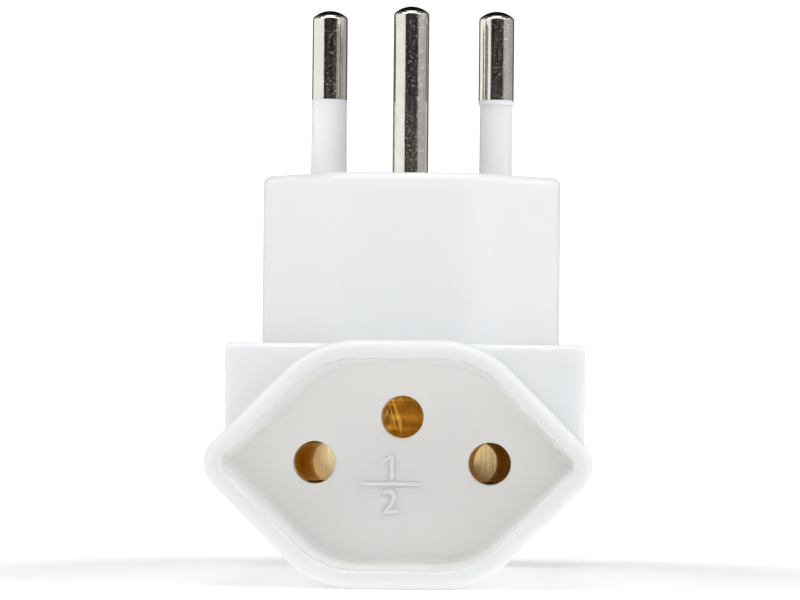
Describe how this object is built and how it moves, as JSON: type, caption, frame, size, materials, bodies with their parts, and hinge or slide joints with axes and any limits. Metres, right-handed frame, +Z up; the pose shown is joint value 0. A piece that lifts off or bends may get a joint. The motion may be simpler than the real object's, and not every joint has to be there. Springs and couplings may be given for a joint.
{
  "type": "multi socket adapter",
  "caption": "Mains adapter with round plug pins on top and recessed hexagonal sockets facing front and rear.",
  "frame": {"origin": "middle of the flat underside that the adapter stands on", "axes": "+Z up along the plug pins, -Y towards the front socket, +X to the neutral side"},
  "size_m": [0.041, 0.062, 0.0644],
  "materials": {
    "housing_white": "satin",
    "insert_white": "satin",
    "carrier_white": "matt",
    "sleeve_white": "satin",
    "insulator": "matt",
    "plated_pin": "polished nickel plate",
    "contact_brass": "drawn sheet"
  },
  "bodies": {
    "root": {"earth_busbar": "contact_brass", "earth_pin": "plated_pin", "front_earth_contact": "contact_brass", "front_housing": "housing_white", "front_line_contact": "contact_brass", "front_neutral_contact": "contact_brass", "front_socket_insert": "insert_white", "insulating_partition": "insulator", "line_busbar": "contact_brass", "line_pin": "plated_pin", "line_pin_sleeve": "sleeve_white", "neutral_busbar": "contact_brass", "neutral_pin": "plated_pin", "neutral_pin_sleeve": "sleeve_white", "pin_carrier": "carrier_white", "rear_earth_contact": "contact_brass", "rear_housing": "housing_white", "rear_line_contact": "contact_brass", "rear_neutral_contact": "contact_brass", "rear_socket_insert": "insert_white"}
  },
  "joints": []
}
